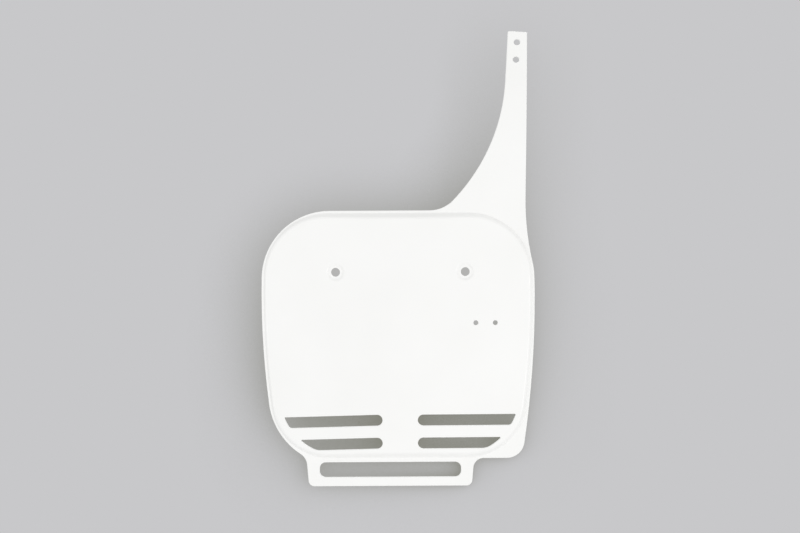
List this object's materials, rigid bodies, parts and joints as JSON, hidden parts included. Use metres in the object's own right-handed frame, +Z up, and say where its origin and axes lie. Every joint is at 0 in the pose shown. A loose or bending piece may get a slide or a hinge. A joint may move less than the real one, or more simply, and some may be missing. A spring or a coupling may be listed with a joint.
{
  "type": "racing number board",
  "caption": "Moulded plastic racing number board: a bowed raised panel with vents along its lower edge, dished bolt seats, a slotted tongue below and a perforated strap sweeping up and back.",
  "frame": {"origin": "midway between the two bracket bolt holes, in the plane of the rear faces of their seats", "axes": "+X to the viewer's right, +Y towards the bracket behind the board, +Z up along the board; the number panel faces -Y"},
  "size_m": [0.2534, 0.0204, 0.4233],
  "materials": {
    "board": "satin"
  },
  "bodies": {
    "root": {"number_board": "board"}
  },
  "joints": []
}
